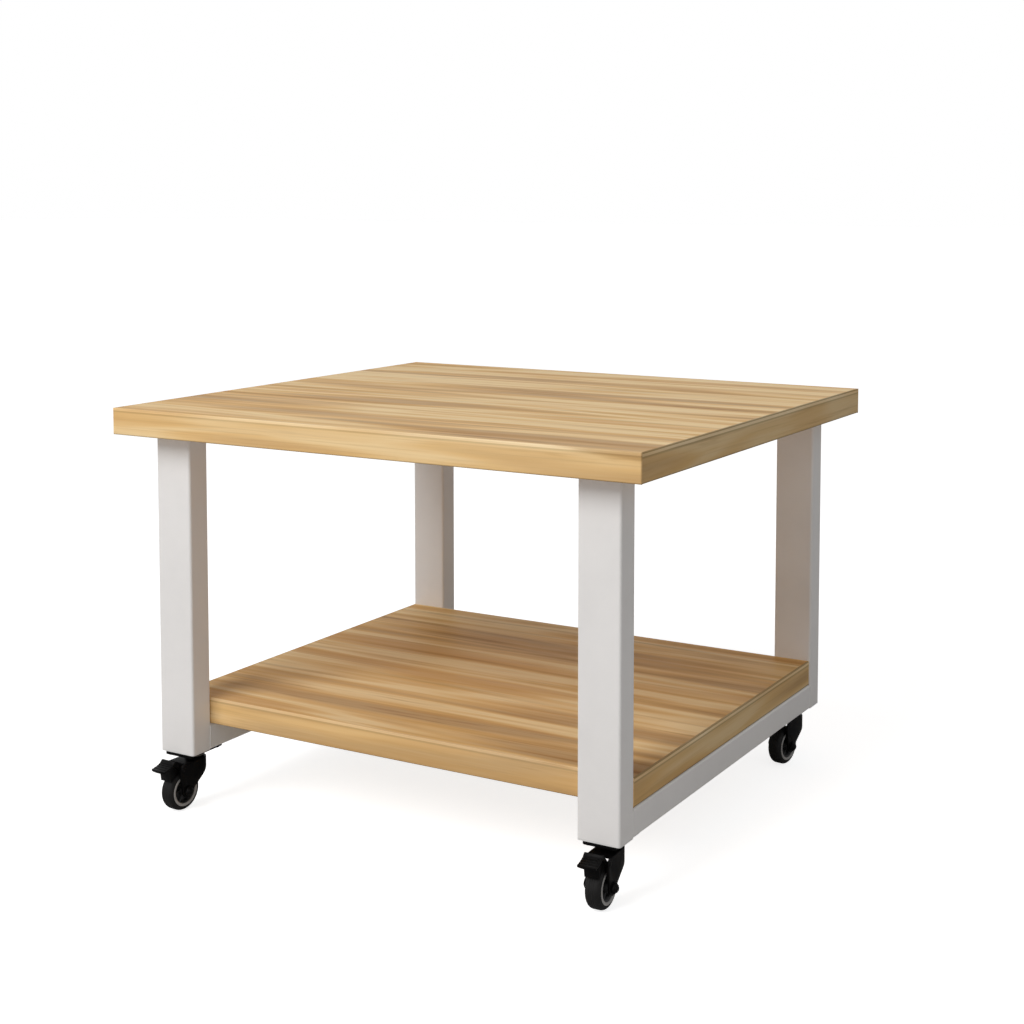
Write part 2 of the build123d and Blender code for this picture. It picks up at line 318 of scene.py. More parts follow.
def ramp(tree, value, stops):
    node = tree.nodes.new("ShaderNodeValToRGB")
    elements = node.color_ramp.elements
    while len(elements) < len(stops):
        elements.new(0.5)
    for element, (place, colour) in zip(elements, stops):
        element.position = place
        element.color = (*colour, 1.0)
    tree.links.new(value, node.inputs["Fac"])
    return node.outputs["Color"]


def mixColour(tree, factor, first, second, blend="MIX"):
    node = tree.nodes.new("ShaderNodeMix")
    node.data_type = "RGBA"
    node.blend_type = blend
    colours = [socket for socket in node.inputs if socket.type == "RGBA"]
    feed(tree, factor, node.inputs["Factor"])
    feed(tree, first, colours[0])
    feed(tree, second, colours[1])
    return [socket for socket in node.outputs if socket.type == "RGBA"][0]


def mapRange(tree, value, low, high, outLow, outHigh):
    node = tree.nodes.new("ShaderNodeMapRange")
    node.inputs["From Min"].default_value = low
    node.inputs["From Max"].default_value = high
    node.inputs["To Min"].default_value = outLow
    node.inputs["To Max"].default_value = outHigh
    tree.links.new(value, node.inputs["Value"])
    return node.outputs["Result"]


def addBump(tree, shader, height, strength, distance):
    node = tree.nodes.new("ShaderNodeBump")
    node.inputs["Strength"].default_value = strength
    node.inputs["Distance"].default_value = distance
    tree.links.new(height, node.inputs["Height"])
    tree.links.new(node.outputs["Normal"], shader.inputs["Normal"])


# Stretch is along and across the grain. A noise is its scale, detail, roughness and distortion.
# A mask or sheen is the range of its noise, then what that range becomes.
wood = {
    "tones": {
        "cream": (0.88, 0.66, 0.365),
        "pale": (0.80, 0.548, 0.275),
        "gold": (0.74, 0.46, 0.180),
        "orange": (0.60, 0.315, 0.100),
        "tan": (0.55, 0.305, 0.107),
        "brown": (0.37, 0.190, 0.066),
        "line": (0.20, 0.10, 0.038),
    },
    "broad": {"stretch": (2.0, 27.0), "noise": (1.0, 2.0, 0.5, 0.2)},
    "streaks": {"stretch": (3.0, 78.0), "noise": (1.0, 4.0, 0.6, 0.3)},
    "fibres": {"stretch": (6.0, 620.0), "noise": (1.0, 3.0, 0.6, 0.1)},
    "drift": (1.0, 1.7, 0.6),
    "broadTones": [(0.34, "brown"), (0.40, "tan"), (0.455, "gold"), (0.51, "cream"), (0.56, "cream"),
                   (0.61, "gold"), (0.67, "orange")],
    "streakTones": [(0.32, "brown"), (0.43, "gold"), (0.58, "cream"), (0.72, "tan")],
    "streakShare": 0.34,
    "lineMask": (0.62, 0.70, 0.0, 0.25),
    "fibreMask": (0.52, 0.74, 0.0, 0.24),
    "sheen": (0.2, 0.8, 0.56, 0.42),
    "bump": (0.18, 0.0001),
    "gloss": 0.05,
    "edgeLift": (0.0, 0.5, 1.6),
}
# Depth below the upper edge in mm, and how light the band is there: a painted highlight along the rounded
# upper edge, dark seam lines next to it, and painted shade along the lower edge
frontEdge = [(0.0, 1.15), (2.2, 1.14), (2.7, 0.82), (3.6, 0.85), (4.3, 1.0), (23.6, 1.0), (24.5, 0.65),
             (25.0, 0.55)]
sideEdge = [(0.0, 0.60), (1.0, 0.64), (1.4, 1.20), (3.3, 1.18), (3.7, 0.72), (4.6, 0.76), (5.4, 1.0),
            (23.2, 1.0), (24.2, 0.55), (25.0, 0.45)]


def edgeShade(light):
    # Painted highlights on the edges turn paler as well as lighter; halved to fit a ramp
    lift = max(light - 1.0, 0.0)
    return tuple((light + share * lift) / 2 for share in wood["edgeLift"])


def edgeLightAndSeams(tree, colour, edge, edgeTop):
    # The band's colour with a painted highlight, seam lines and painted shade, by its depth below the upper
    # edge
    place = tree.nodes.new("ShaderNodeSeparateXYZ")
    tree.links.new(objectCoords(tree), place.inputs[0])
    deep = edge[-1][0]
    depth = mapRange(tree, place.outputs["Z"], edgeTop, edgeTop - deep * mm, 0.0, 1.0)
    shade = ramp(tree, depth, [(below / deep, edgeShade(light)) for below, light in edge])
    shaded = mixColour(tree, 1.0, colour, shade, "MULTIPLY")
    return mixColour(tree, 1.0, shaded, (2.0, 2.0, 2.0), "MULTIPLY")  # makes up for the halved shades


def woodMaterial(name, along, paintedLight, seed, contrast=1.0, edge=None, edgeTop=0.0):
    # Laminate with long cream, gold and brown streaks that run along X or Y
    material, tree, shader = newMaterial(name)

    def layer(key):
        lengthScale, acrossScale = wood[key]["stretch"]
        scale = [acrossScale, acrossScale, acrossScale]
        scale["XY".index(along)] = lengthScale
        vector = objectCoords(tree, scale)
        vector.node.inputs["Location"].default_value = [seed * share for share in wood["drift"]]
        return noise(tree, vector, *wood[key]["noise"])

    tones = {key: tuple(channel * paintedLight for channel in colour) for key, colour in wood["tones"].items()}
    broad, streaks, fibres = layer("broad"), layer("streaks"), layer("fibres")
    colour = ramp(tree, broad, [(place, tones[key]) for place, key in wood["broadTones"]])
    finer = ramp(tree, streaks, [(place, tones[key]) for place, key in wood["streakTones"]])
    colour = mixColour(tree, wood["streakShare"], colour, finer)
    colour = mixColour(tree, 1 - contrast, colour, tones["pale"])
    colour = mixColour(tree, mapRange(tree, streaks, *wood["lineMask"]), colour, tones["line"])
    colour = mixColour(tree, mapRange(tree, fibres, *wood["fibreMask"]), colour, tones["brown"])
    # Painted highlight and painted shade along the band's edges, with its seam lines
    if edge:
        colour = edgeLightAndSeams(tree, colour, edge, edgeTop)
    tree.links.new(colour, shader.inputs["Base Color"])
    tree.links.new(mapRange(tree, streaks, *wood["sheen"]), shader.inputs["Roughness"])
    addBump(tree, shader, fibres, *wood["bump"])
    shader.inputs["Specular IOR Level"].default_value = wood["gloss"]
    return material


def sheenOf(tree, source, roughness, sheen):
    # Roughness that changes with a noise, by the last two values of its sheen
    low, high, first, last = sheen
    return mapRange(tree, source, low, high, roughness + first, roughness + last)


powder = {
    "roughness": 0.42,
    "peel": (900.0, 2.0, 0.5),
    "marks": (14.0, 5.0, 0.6),
    "tones": [(0.30, 0.955), (0.55, 1.0), (0.85, 1.03)],
    "sheen": (0.3, 0.7, 0.07, -0.05),
    "bump": (0.12, 0.0001),
}


def powderMaterial(name, colour, roughness=powder["roughness"]):
    # White powder coat with fine orange peel and a trace of handling marks
    material, tree, shader = newMaterial(name)
    vector = objectCoords(tree)
    peel = noise(tree, vector, *powder["peel"])
    marks = noise(tree, vector, *powder["marks"])
    stops = []
    for place, share in powder["tones"]:
        stops.append((place, tuple(min(channel * share, 1) for channel in colour)))
    tree.links.new(ramp(tree, marks, stops), shader.inputs["Base Color"])
    tree.links.new(sheenOf(tree, marks, roughness, powder["sheen"]), shader.inputs["Roughness"])
    addBump(tree, shader, peel, *powder["bump"])
    return material


# Each tone is a factor on the colour and a lift added to it, and the cloud's mask runs from first to last
coats = {
    "electrocoat": {  # black, dusty in its hollows and rougher there
        "fine": (1400.0, 2.0, 0.5),
        "cloud": (120.0, 5.0, 0.65),
        "mask": (0.45, 0.8, 0.0, 0.25),
        "first": (1.0, 0.0),
        "last": (2.0, 0.0025),
        "sheenFrom": "cloud",
        "sheen": (0.3, 0.75, -0.06, 0.14),
        "bump": (0.15, 0.00006),
        "sockets": {"Specular IOR Level": 0.06},
    },
    "plating": {  # zinc with fine turning lines and cloudy passivation
        "stretch": (1, 1, 14),
        "fine": (500.0, 3.0, 0.6),
        "cloud": (160.0, 4.0, 0.6),
        "mask": (0.35, 0.7, 0.0, 1.0),
        "first": (0.82, 0.0),
        "last": (1.0, 0.0),
        "sheenFrom": "fine",
        "sheen": (0.3, 0.7, -0.06, 0.12),
        "bump": (0.12, 0.00004),
        "sockets": {"Metallic": 1.0},
    },
    "rubber": {  # tread rubber, greyer with dust where it has rolled
        "fine": (700.0, 4.0, 0.7),
        "cloud": (90.0, 5.0, 0.6),
        "mask": (0.4, 0.75, 0.0, 0.6),
        "first": (1.0, 0.0),
        "last": (1.6, 0.006),
        "sheenFrom": "fine",
        "sheen": (0.3, 0.7, -0.08, 0.10),
        "bump": (0.25, 0.00008),
        "sockets": {"Specular IOR Level": 0.16},
    },
    "plastic": {  # moulded, with a fine spark-eroded grain
        "fine": (1800.0, 2.0, 0.5),
        "cloud": (60.0, 3.0, 0.5),
        "mask": (0.3, 0.7, 0.0, 1.0),
        "first": (0.92, 0.0),
        "last": (1.0, 0.0),
        "sheenFrom": "fine",
        "sheen": (0.3, 0.7, -0.05, 0.08),
        "bump": (0.15, 0.00005),
        "sockets": {},
    },
}


def coatMaterial(name, kind, colour, roughness, darkest=None):
    # One colour in two clouded tones, with a fine bump
    coat = coats[kind]
    material, tree, shader = newMaterial(name)
    noises = {
        "fine": noise(tree, objectCoords(tree, coat.get("stretch", (1, 1, 1))), *coat["fine"]),
        "cloud": noise(tree, objectCoords(tree), *coat["cloud"]),
    }
    first = (darkest, 0.0) if darkest else coat["first"]
    ends = [tuple(channel * factor + lift for channel in colour) for factor, lift in (first, coat["last"])]
    tint = mixColour(tree, mapRange(tree, noises["cloud"], *coat["mask"]), *ends)
    sheen = sheenOf(tree, noises[coat["sheenFrom"]], roughness, coat["sheen"])
    tree.links.new(tint, shader.inputs["Base Color"])
    tree.links.new(sheen, shader.inputs["Roughness"])
    addBump(tree, shader, noises["fine"], *coat["bump"])
    for socket, value in coat["sockets"].items():
        shader.inputs[socket].default_value = value
    return material


def boardTop(board):
    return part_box(f"{board}_board")[1][2]


# Each wood's tone is painted light and shade: lighter on the top board's upper face and the front bands,
# darker on the side bands
finishes = {
    "topWood": woodMaterial("top wood", "X", paintedLight=1.10, seed=0.0),
    "topFrontWood": woodMaterial("top front band wood", "X", paintedLight=1.04, seed=3.1, contrast=0.72,
                                 edge=frontEdge, edgeTop=boardTop("top")),
    "topSideWood": woodMaterial("top side band wood", "Y", paintedLight=0.90, seed=5.3, contrast=0.75,
                                edge=sideEdge, edgeTop=boardTop("top")),
    "shelfWood": woodMaterial("shelf wood", "X", paintedLight=1.0, seed=7.7),
    "shelfFrontWood": woodMaterial("shelf front band wood", "X", paintedLight=1.07, seed=9.2, contrast=0.75,
                                   edge=frontEdge, edgeTop=boardTop("shelf")),
    "shelfSideWood": woodMaterial("shelf side band wood", "Y", paintedLight=0.88, seed=11.9, contrast=0.75,
                                  edge=sideEdge, edgeTop=boardTop("shelf")),
    "powder": powderMaterial("white powder coat", (0.845, 0.82, 0.80)),
    "weld": powderMaterial("white powder coat over weld", (0.825, 0.80, 0.78), 0.46),
    "plug": coatMaterial("white nylon plug", "plastic", (0.78, 0.765, 0.745), 0.45, 0.96),
    "pressing": coatMaterial("black electrocoat", "electrocoat", (0.0024, 0.0022, 0.0023), 0.36),
    "hardware": coatMaterial("black oxide hardware", "electrocoat", (0.0045, 0.0042, 0.0042), 0.40),
    "zinc": coatMaterial("zinc plating", "plating", (0.60, 0.60, 0.58), 0.32),
    "hub": coatMaterial("black hub plastic", "plastic", (0.009, 0.009, 0.0095), 0.45, 0.8),
    "rim": coatMaterial("grey rim plastic", "plastic", (0.40, 0.385, 0.37), 0.42, 0.9),
    # The acetal ring is darkened: painted shade for its place under the top plate
    "ring": coatMaterial("acetal ring with painted shade", "plastic", (0.16, 0.145, 0.12), 0.4),
    "tyre": coatMaterial("tyre rubber", "rubber", (0.0088, 0.0082, 0.0080), 0.62),
}
print("finishes made:", len(finishes))


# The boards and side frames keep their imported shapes
for board in ("top", "shelf"):
    dress(nodes[f"{board}_board"], finishes[f"{board}Wood"])
    for face in ("front", "back"):
        dress(nodes[f"{board}_band_{face}"], finishes[f"{board}FrontWood"])
    for face in ("left", "right"):
        dress(nodes[f"{board}_band_{face}"], finishes[f"{board}SideWood"])
for name in [f"leg_{corner}" for corner in corners] + ["rail_left", "rail_right", "leg_tabs"]:
    dress(nodes[name], finishes["powder"])
dress(nodes["leg_plugs"], finishes["plug"])
dress(nodes["caster_stems"], finishes["zinc"])
dress(nodes["thrust_rings"], finishes["ring"])
print("boards and side frames dressed")


# Each caster piece is modelled once about its swivel axis and copied
caster = {
    "trail": 19.0,
    "wheelRadius": 19.0,
    "pinReach": 25.0,
    "pinHeight": 41.0,
    "plateTop": 55.0,
}
casterPlaces = {}
for corner in corners:
    swivelPlace = joints[f"swivel_{corner}"]["pos_m"]
    across = joints[f"roll_{corner}"]["axis"]
    turned = Matrix.Rotation(math.atan2(across[1], across[0]), 4, "Z")
    casterPlaces[corner] = Matrix.Translation((swivelPlace[0], swivelPlace[1], 0)) @ turned
squarePlaces = [Matrix.Translation(place.to_translation()) for place in casterPlaces.values()]

tyre = {
    "halfWidth": 7.25,
    "bore": 14.95,
    "shoulder": 4.4,
    "shoulderSteps": 9,
    "grooves": (-1.9, 0.0, 1.9),
    "halfGroove": 0.5,
    "halfFloor": 0.25,  # share of the groove's half width
    "grooveDepth": 0.3,
    "sides": 128,
    "smooth": 40.0,
}


def makeTyre():
    radius, shoulder, half = caster["wheelRadius"], tyre["shoulder"], tyre["halfGroove"]
    low = math.degrees(math.asin((tyre["bore"] - radius + shoulder) / shoulder))
    centre = (tyre["halfWidth"] - shoulder, radius - shoulder)
    side = arcPoints(centre, shoulder, low, 90, tyre["shoulderSteps"])
    floor, halfFloor = radius - tyre["grooveDepth"], half * tyre["halfFloor"]
    profile = [(r, -x) for x, r in side]
    for middle in tyre["grooves"]:
        profile += [(radius, middle - half), (floor, middle - halfFloor)]
        profile += [(floor, middle + halfFloor), (radius, middle + half)]
    profile += [(r, x) for x, r in reversed(side)]
    piece = turnedPiece("tyre", profile, tyre["sides"])
    finishEdges(piece, tyre)
    onWheel(piece)
    seatCopies(piece, "tyreTread", "wheel", "tyre", finishes["tyre"], corners)


rim = {"outer": 14.9, "inner": 12.3, "halfWidth": 7.45, "edge": 0.45, "sides": 128, "smooth": 50.0}


def makeRim():
    outer, inner, half, edge = rim["outer"], rim["inner"], rim["halfWidth"], rim["edge"]
    profile = [(inner, -half + edge), (inner + edge, -half), (outer - edge, -half), (outer, -half + edge),
               (outer, half - edge), (outer - edge, half), (inner + edge, half), (inner, half - edge)]
    piece = turnedPiece("rim", profile, rim["sides"])
    finishEdges(piece, rim)
    onWheel(piece)
    seatCopies(piece, "rimRing", "wheel", "rim", finishes["rim"], corners)


hub = {
    "radius": 12.25,
    "lip": 1.1,
    "lipEdge": 0.3,
    "lipFoot": 0.8,  # how far the lip and the boss spread where they meet the web
    "halfLip": 6.4,
    "halfWeb": 2.6,
    "boss": 5.0,
    "bossEdge": 0.4,
    "bossFoot": 0.3,
    "halfBoss": 8.7,
    "bore": 2.55,
    "ribs": 6,
    "ribWidth": 1.5,
    "ribSink": (0.4, 0.2),  # into the boss and into the lip
    "halfRib": 5.2,
    "sides": 96,
    "bevel": (0.18, 2, 50.0),
    "smooth": 40.0,
}


def makeHub():
    # Dished on both sides, with spokes between the boss and the lip
    boss, inside, width = hub["boss"], hub["radius"] - hub["lip"], hub["ribWidth"] / 2
    half = [
        (hub["bore"], hub["halfBoss"]),
        (boss - hub["bossEdge"], hub["halfBoss"]),
        (boss, hub["halfBoss"] - hub["bossEdge"]),
        (boss + hub["bossFoot"], hub["halfWeb"]),
        (inside - hub["lipFoot"], hub["halfWeb"]),
        (inside, hub["halfLip"] - hub["lipEdge"]),
        (inside + hub["lipEdge"], hub["halfLip"]),
        (hub["radius"], hub["halfLip"]),
    ]
    piece = turnedPiece("hub", [(r, -x) for r, x in half] + list(reversed(half)), hub["sides"])
    near, far = boss - hub["ribSink"][0], inside + hub["ribSink"][1]
    outline = [(near, -width), (far, -width), (far, width), (near, width)]
    for count in range(hub["ribs"]):
        spoke = platePiece("spoke", outline, 2 * hub["halfRib"])
        moveMesh(spoke, z=-hub["halfRib"])
        spoke.data.transform(Matrix.Rotation(2 * math.pi * (count + 0.5) / hub["ribs"], 4, "Z"))
        booleanWith(piece, spoke, "UNION")
    finishEdges(piece, hub)
    onWheel(piece)
    seatCopies(piece, "hubDisc", "wheel", "hub", finishes["hub"], corners)


fork = {
    "halfWidth": 11.0,
    "wall": 2.0,
    "reach": 28.0,
    "crownTop": 45.5,
    "crownReach": 23.5,
    "crownEdge": 21.5,
    "crownSteps": 28,
    "shoulder": 41.0,
    "shoulderDrop": 5.0,
    "skirt": 38.5,
    "cheekEnd": 6.3,
    "cheekSteps": 20,
    "domeTop": 47.2,
    "domeRadius": 9.8,
    "domeSeat": 8.6,
    "domeSides": 64,
    "hollowDepth": 8.0,
    "kingBore": 4.55,
    "bevel": (0.55, 3, 38.0),
    "smooth": 38.0,
}


def hoodOutline(radius, reach):
    return arcPoints((0, 0), radius, 0, 180, fork["crownSteps"]) + [(-radius, -reach), (radius, -reach)]


def makeFork(braked):
    half, wall, crown, reach = fork["halfWidth"], fork["wall"], fork["crownTop"], fork["reach"]
    overcut, margin, across = shaping["overcut"], shaping["margin"], shaping["acrossCaster"]
    piece = platePiece("fork", hoodOutline(half, reach), crown)
    inside = platePiece("inside", hoodOutline(half - wall, reach + overcut), crown - wall + overcut)
    moveMesh(inside, z=-overcut)
    booleanWith(piece, inside, "DIFFERENCE")
    # The crown ends short of the front of the cheeks
    gap, back, ahead = half - wall, -fork["crownEdge"], -reach - overcut
    mouth = platePiece("mouth", [(-gap, back), (-gap, ahead), (gap, ahead), (gap, back)], 2 * overcut)
    moveMesh(mouth, z=crown - overcut)
    booleanWith(piece, mouth, "DIFFERENCE")
    side = [(half + margin, crown + margin), (-fork["crownReach"] + margin, crown + margin),
            (-fork["crownReach"], crown), (-reach, fork["shoulder"]),
            (-reach, fork["shoulder"] - fork["shoulderDrop"])]
    axlePlace = (-caster["trail"], caster["wheelRadius"])
    side += arcPoints(axlePlace, fork["cheekEnd"], 180, 360, fork["cheekSteps"])
    side += [(half, fork["skirt"]), (half + margin, fork["skirt"])]
    cheeks = platePiece("cheeks", side, 2 * across, "YZ")
    moveMesh(cheeks, x=-across)
    booleanWith(piece, cheeks, "INTERSECT")
    dome = turnedPiece("dome", [(fork["domeRadius"], crown - margin), (fork["domeRadius"], crown),
                                (fork["domeSeat"], fork["domeTop"])], fork["domeSides"], capped=True)
    booleanWith(piece, dome, "UNION")
    low = crown - fork["hollowDepth"]
    booleanWith(piece, rod("hollow", fork["domeSeat"] - wall, low, fork["domeTop"] - wall), "DIFFERENCE")
    booleanWith(piece, rod("bore", fork["kingBore"], low, fork["domeTop"] + overcut), "DIFFERENCE")
    axleBore = crossRod("axle bore", axle["radius"] + shaping["boreClearance"])
    onWheel(axleBore)
    booleanWith(piece, axleBore, "DIFFERENCE")
    if braked:
        pinBore = crossRod("pin bore", pin["radius"] + shaping["boreClearance"])
        onPin(pinBore)
        booleanWith(piece, pinBore, "DIFFERENCE")
    finishEdges(piece, fork)
    wanted = frontCorners if braked else backCorners
    seatCopies(piece, "forkPressing", "swivel", "fork", finishes["pressing"], wanted)


axle = {
    "radius": 2.5,
    "across": 8.0,
    "chamfer": 0.5,
    "sink": 0.5,  # how far the shank and the hexagon start inside the head's washer
    "headHeight": 3.2,
    "washer": 4.9,
    "washerEdge": 0.4,
    "nutHeight": 3.6,
    "end": 0.8,
    "endStart": 0.3,
    "endEdge": 0.5,
    "sides": 32,
    "bevel": (0.12, 1, 40.0),
    "smooth": 40.0,
}


def makeAxle():
    half, radius, washer, edge = fork["halfWidth"], axle["radius"], axle["washer"], axle["washerEdge"]
    profile = [(radius, -half - axle["sink"]), (radius, half + axle["nutHeight"] + axle["endStart"]),
               (radius - axle["endEdge"], half + axle["nutHeight"] + axle["end"])]
    shank = turnedPiece("shank", profile, axle["sides"], capped=True)
    head = hexBlock("head", axle["across"], axle["sink"], axle["headHeight"], axle["chamfer"])
    flange = [(washer, 0), (washer, edge), (washer - edge, 2 * edge)]
    booleanWith(head, turnedPiece("collar", flange, shaping["sides"], capped=True), "UNION")
    head.data.transform(Matrix.Rotation(math.pi, 4, "X"))
    moveMesh(head, z=-half)
    booleanWith(shank, head, "UNION")
    finishEdges(shank, axle)
    onWheel(shank)
    seatCopies(shank, "axleBolt", "swivel", "axle", finishes["hardware"], corners)


nut = {
    "collar": 3.5,
    "collarHeight": 1.0,
    "collarEdge": 0.3,
    "sink": 0.5,
    "bevel": (0.12, 1, 40.0),
    "smooth": 40.0,
}


def makeNut():
    # Lock nut with a turned collar round its insert
    top, radius, edge, margin = axle["nutHeight"], nut["collar"], nut["collarEdge"], shaping["margin"]
    piece = hexBlock("nut", axle["across"], 0, top - nut["collarHeight"], axle["chamfer"])
    profile = [(radius, nut["sink"]), (radius, top - edge), (radius - edge, top)]
    booleanWith(piece, turnedPiece("collar", profile, shaping["sides"], capped=True), "UNION")
    bore = rod("bore", axle["radius"] + shaping["boreClearance"], -margin, top + margin)
    booleanWith(piece, bore, "DIFFERENCE")
    finishEdges(piece, nut)
    moveMesh(piece, z=fork["halfWidth"])
    onWheel(piece)
    seatCopies(piece, "lockNut", "swivel", "axle_nut", finishes["hardware"], corners)


pin = {
    "radius": 1.2,
    "head": 2.1,
    "dome": [(0.0, 0.25), (0.35, 0.6), (1.0, 0.8)],  # in from the head's edge, and out from the cheek
    "sides": 40,
    "smooth": 40.0,
}


def makePin():
    half, head = fork["halfWidth"], pin["head"]
    end = [(head, half)] + [(head - inset, half + height) for inset, height in pin["dome"]]
    profile = [(r, -x) for r, x in reversed(end)] + [(pin["radius"], -half), (pin["radius"], half)] + end
    piece = turnedPiece("pin", profile, pin["sides"], capped=True)
    finishEdges(piece, pin)
    onPin(piece)
    seatCopies(piece, "pedalRivet", "swivel", "pedal_pin", finishes["hardware"],
               frontCorners)


pedal = {
    "halfWidth": 8.5,
    "knuckle": 2.1,
    "knuckleSteps": 14,
    "heel": (-33.8, 50.2),
    "heelFlat": 1.6,
    "heelDepth": 2.7,
    "instep": (-38.4, 46.6),
    "toe": (-47.5, 44.3),
    "toeSteps": 12,
    "thickness": 1.8,
    "bow": 1.2,
    "bowSteps": 16,
    "bowHeight": 60.0,  # of the cutter that bows the toe, above the whole lever
    "padWidth": 13.5,
    "padFoot": (-36.5, 31.5),
    "padClearance": 0.3,
    "padSides": 160,
    "travel": 6.0,
    "treads": (0.35, 0.52, 0.69, 0.86),  # places of the grip grooves from heel to toe
    "treadRadius": 0.55,
    "treadLift": 0.1,
    "treadSides": 16,
    "boreSides": 32,
    "bevel": (0.35, 2, 40.0),
    "smooth": 35.0,
}


def makeLever(top, under):
    # Heel and bowed toe in one bent plate, with grip grooves across the toe
    pivot, knuckle, half = (-caster["pinReach"], caster["pinHeight"]), pedal["knuckle"], pedal["halfWidth"]
    heel, toe, bow = pedal["heel"], pedal["toe"][0], pedal["bow"]
    outline = [(pivot[0] + knuckle, pivot[1]), (heel[0] + pedal["heelFlat"], heel[1])] + top + under
    outline += arcPoints(pivot, knuckle, 180, 360, pedal["knuckleSteps"])[:-1]
    lever = platePiece("lever", outline, 2 * half, "YZ")
    moveMesh(lever, x=-half)
    front = hollowCurve((half, toe + bow), (0, toe), (-half, toe + bow), pedal["bowSteps"])
    booleanWith(lever, platePiece("shape", front + [(-half, 0), (half, 0)], pedal["bowHeight"]), "INTERSECT")
    reach = half + shaping["margin"]
    for share in pedal["treads"]:
        spot = top[round(share * pedal["toeSteps"])]
        groove = rod("groove", pedal["treadRadius"], -reach, reach, pedal["treadSides"])
        layAcross(groove, spot[0], spot[1] + pedal["treadLift"])
        booleanWith(lever, groove, "DIFFERENCE")
    return lever


def makePad(heelUnder, instepUnder):
    # Brake pad, cut to the tyre as it stands when the pedal is down
    pivot, foot = (-caster["pinReach"], caster["pinHeight"]), pedal["padFoot"]
    back, down = caster["pinReach"] - caster["trail"], caster["wheelRadius"] - caster["pinHeight"]
    swing = math.radians(pedal["travel"])
    front = pivot[0] - pedal["knuckle"]
    outline = [(front, foot[1]), (front, pivot[1]), heelUnder, instepUnder, foot]
    pad = platePiece("pad", outline, pedal["padWidth"], "YZ")
    moveMesh(pad, x=-pedal["padWidth"] / 2)
    wheel = crossRod("wheel", caster["wheelRadius"] + pedal["padClearance"], pedal["padSides"])
    layAcross(wheel, pivot[0] + back * math.cos(swing) + down * math.sin(swing),
              pivot[1] - back * math.sin(swing) + down * math.cos(swing))
    booleanWith(pad, wheel, "DIFFERENCE")
    return pad


def makePedal():
    heel, instep, toe, thick = pedal["heel"], pedal["instep"], pedal["toe"], pedal["thickness"]
    heelUnder = (heel[0], heel[1] - pedal["heelDepth"])
    instepUnder = (instep[0], instep[1] - thick)
    top = hollowCurve(heel, instep, toe, pedal["toeSteps"])
    under = hollowCurve((toe[0], toe[1] - thick), instepUnder, heelUnder, pedal["toeSteps"])
    lever = makeLever(top, under)
    booleanWith(lever, makePad(heelUnder, instepUnder), "UNION")
    bore = crossRod("bore", pin["radius"] + shaping["boreClearance"], pedal["boreSides"])
    onPin(bore)
    booleanWith(lever, bore, "DIFFERENCE")
    finishEdges(lever, pedal)
    seatCopies(lever, "brakeLever", "brake", "pedal", finishes["pressing"], frontCorners)


plate = {
    "width": 31.0,
    "length": 47.0,
    "corner": 3.0,
    "cornerSteps": 5,
    "thickness": 3.0,
    "bore": 4.55,
    "boreCut": (40.0, 60.0),  # heights between which the bore is cut
    "screwX": 11.3,
    "screwY": 18.6,
    "bevel": (0.4, 2, 40.0),
    "smooth": 40.0,
}


def makePlates():
    outline = roundedOutline(plate["width"], plate["length"], plate["corner"], plate["cornerSteps"])
    piece = platePiece("plate", outline, plate["thickness"])
    moveMesh(piece, z=caster["plateTop"] - plate["thickness"])
    booleanWith(piece, rod("bore", plate["bore"], *plate["boreCut"]), "DIFFERENCE")
    finishEdges(piece, plate)
    joinedCopies(piece, "topPlates", squarePlaces, finishes["pressing"], "caster_flanges")


race = {
    "top": 13.0,
    "low": 9.9,
    "base": 48.6,
    "baseEdge": (0.5, 0.25),  # across and up
    "lip": 1.0,
    "lipEdge": (0.25, 0.3),
    "bore": 4.55,
    "sides": 80,
    "smooth": 30.0,
}


def makeRaces():
    base, under = race["base"], caster["plateTop"] - plate["thickness"]
    lip = under - race["lip"]
    profile = [
        (race["bore"], base),
        (race["low"] - race["baseEdge"][0], base),
        (race["low"], base + race["baseEdge"][1]),
        (race["top"] - race["lipEdge"][0], lip),
        (race["top"], lip + race["lipEdge"][1]),
        (race["top"], under),
        (race["bore"], under),
    ]
    piece = turnedPiece("race", profile, race["sides"])
    finishEdges(piece, race)
    joinedCopies(piece, "pressedRaces", squarePlaces, finishes["hardware"], "upper_races")


makeTyre()
makeRim()
makeHub()
makeFork(True)
makeFork(False)
makeAxle()
makeNut()
makePin()
makePedal()
makePlates()
makeRaces()
print("casters made")


# Pan head screws under the plates, tabs and rails
screw = {
    "headRadius": 3.4,
    "headHeight": 1.7,
    "dome": [(1.0, 0.0), (1.0, 0.35), (0.90, 0.70), (0.66, 0.93), (0.35, 1.0)],  # shares of radius and height
    "recessReach": 1.8,
    "recessWidth": 0.8,
    "recessDepth": 1.1,
    "turns": (37.0, 11.0),  # degrees for each screw, and for its place in a row of three
    "sides": 40,
    "bevel": (0.08, 1, 50.0),
    "smooth": 35.0,
}
plateScrews = {"scale": 0.85}
tabScrews = {"scale": 1.0, "insets": (10.0, 24.0)}
railScrews = {"scale": 1.1, "along": (-140.0, 0.0, 140.0)}
bothWays = (-1, 1)


